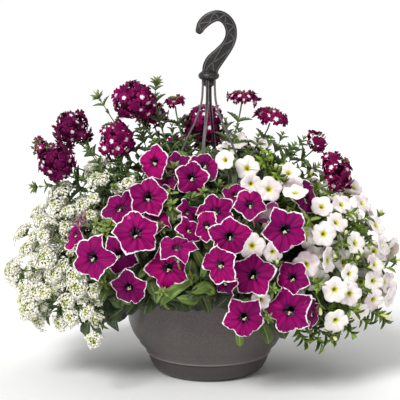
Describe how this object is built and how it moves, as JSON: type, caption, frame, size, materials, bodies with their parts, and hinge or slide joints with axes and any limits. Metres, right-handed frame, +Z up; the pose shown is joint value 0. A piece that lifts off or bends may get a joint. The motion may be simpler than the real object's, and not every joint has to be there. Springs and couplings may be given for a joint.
{
  "type": "petunia hanging basket",
  "caption": "Round plastic hanging pot on a hooked hanger, planted with a wide dome of petunias, verbena, million bells and sweet alyssum.",
  "frame": {"origin": "centre of the saucer's flat underside", "axes": "+Z up through the pot's axis to the hanger, the planting's front towards -Y, +X to the right seen from the front"},
  "size_m": [0.5816, 0.4339, 0.5426],
  "materials": {
    "pot_plastic": "satin taupe grey",
    "saucer_plastic": "satin, a little darker than the pot",
    "hanger_plastic": "dark grey semi-gloss with raised veins",
    "soil": "loose dark potting mix",
    "petunia_bloom": "magenta petal with a white edge and a dark throat",
    "verbena_head": "burgundy florets with white eyes",
    "petunia_green": "soft mid-green leaf",
    "verbena_green": "darker green leaf and stem, burgundy florets on the far side",
    "calibrachoa": "blush white bells with yellow throats over small bright leaves",
    "alyssum": "creamy white florets over narrow green leaves"
  },
  "bodies": {
    "root": {"pot": "pot_plastic", "saucer": "saucer_plastic", "soil": "soil", "hook": "hanger_plastic", "strand_front": "hanger_plastic", "strand_right": "hanger_plastic", "strand_back": "hanger_plastic", "strand_left": "hanger_plastic", "petunia_01": "petunia_bloom", "petunia_02": "petunia_bloom", "petunia_03": "petunia_bloom", "petunia_04": "petunia_bloom", "petunia_05": "petunia_bloom", "petunia_06": "petunia_bloom", "petunia_07": "petunia_bloom", "petunia_08": "petunia_bloom", "petunia_09": "petunia_bloom", "petunia_10": "petunia_bloom", "petunia_11": "petunia_bloom", "petunia_12": "petunia_bloom", "petunia_13": "petunia_bloom", "petunia_14": "petunia_bloom", "petunia_15": "petunia_bloom", "petunia_16": "petunia_bloom", "petunia_17": "petunia_bloom", "petunia_18": "petunia_bloom", "petunia_19": "petunia_bloom", "petunia_20": "petunia_bloom", "petunia_21": "petunia_bloom", "petunia_22": "petunia_bloom", "petunia_23": "petunia_bloom", "petunia_24": "petunia_bloom", "petunia_25": "petunia_bloom", "petunia_26": "petunia_bloom", "petunia_27": "petunia_bloom", "petunia_28": "petunia_bloom", "petunia_29": "petunia_bloom", "petunia_30": "petunia_bloom", "petunia_31": "petunia_bloom", "petunia_32": "petunia_bloom", "petunia_back_1": "petunia_bloom", "petunia_back_2": "petunia_bloom", "petunia_back_3": "petunia_bloom", "petunia_back_4": "petunia_bloom", "verbena_head_01": "verbena_head", "verbena_head_02": "verbena_head", "verbena_head_03": "verbena_head", "verbena_head_04": "verbena_head", "verbena_head_05": "verbena_head", "verbena_head_06": "verbena_head", "verbena_head_07": "verbena_head", "verbena_head_08": "verbena_head", "verbena_head_09": "verbena_head", "verbena_head_10": "verbena_head", "verbena_head_11": "verbena_head", "petunia_plant": "petunia_green", "petunia_back_plant": "petunia_green", "verbena_plant": "verbena_green", "calibrachoa_plant": "calibrachoa", "alyssum_plant": "alyssum"}
  },
  "joints": []
}
